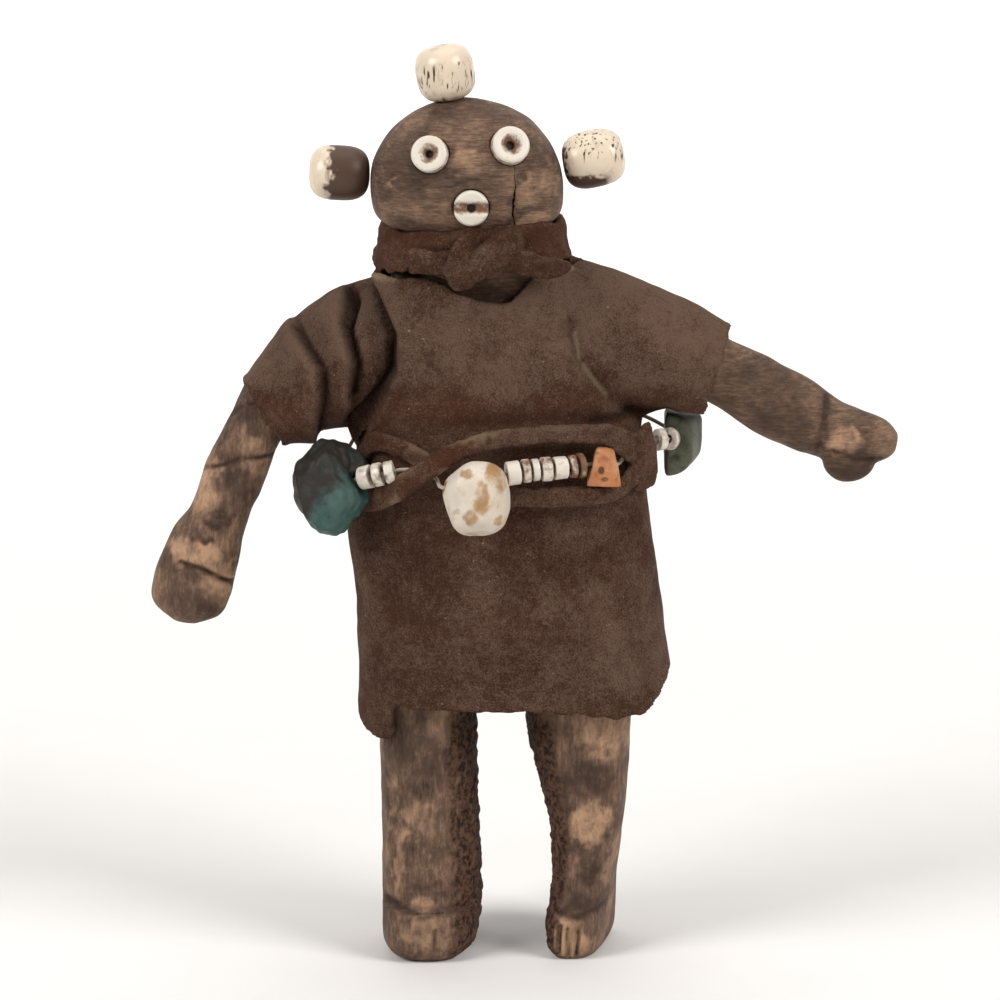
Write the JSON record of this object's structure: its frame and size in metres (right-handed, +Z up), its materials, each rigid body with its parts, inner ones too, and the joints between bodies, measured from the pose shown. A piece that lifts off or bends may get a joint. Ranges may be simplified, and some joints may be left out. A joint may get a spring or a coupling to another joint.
{
  "type": "kachina doll",
  "caption": "Small standing doll carved from antler in a hide tunic, scarf and slit belt, with bone bead ears, shell disc eyes and a waist strand of stones and beads.",
  "frame": {"origin": "on the ground plane under the middle of the whole doll", "axes": "+Z up, the doll faces -Y, its right-hand side in the picture is +X"},
  "size_m": [0.1138, 0.0408, 0.1411],
  "materials": {
    "antler": "satin",
    "hide": "matte",
    "bone": "satin",
    "shell": "satin",
    "blue_green": "satin",
    "pale": "satin",
    "green": "satin",
    "orange": "satin",
    "thread": "matte"
  },
  "bodies": {
    "root": {"carved_figure": "antler", "left_arm": "antler", "right_arm": "antler", "tunic": "hide", "neck_scarf": "hide", "belt": "hide", "top_bead": "bone", "left_ear_bead": "bone", "right_ear_bead": "bone", "blue_green_stone": "blue_green", "pale_stone": "pale", "green_stone": "green", "orange_shell": "orange", "bead_thread": "thread", "left_eye": "shell", "right_eye": "shell", "mouth": "shell", "left_disc_bead_1": "shell", "left_disc_bead_2": "shell", "left_disc_bead_3": "shell", "middle_disc_bead_1": "shell", "middle_disc_bead_2": "shell", "middle_disc_bead_3": "shell", "middle_disc_bead_4": "shell", "middle_disc_bead_5": "shell", "middle_disc_bead_6": "shell", "middle_disc_bead_7": "shell", "right_disc_bead_1": "shell", "right_disc_bead_2": "shell"}
  },
  "joints": []
}
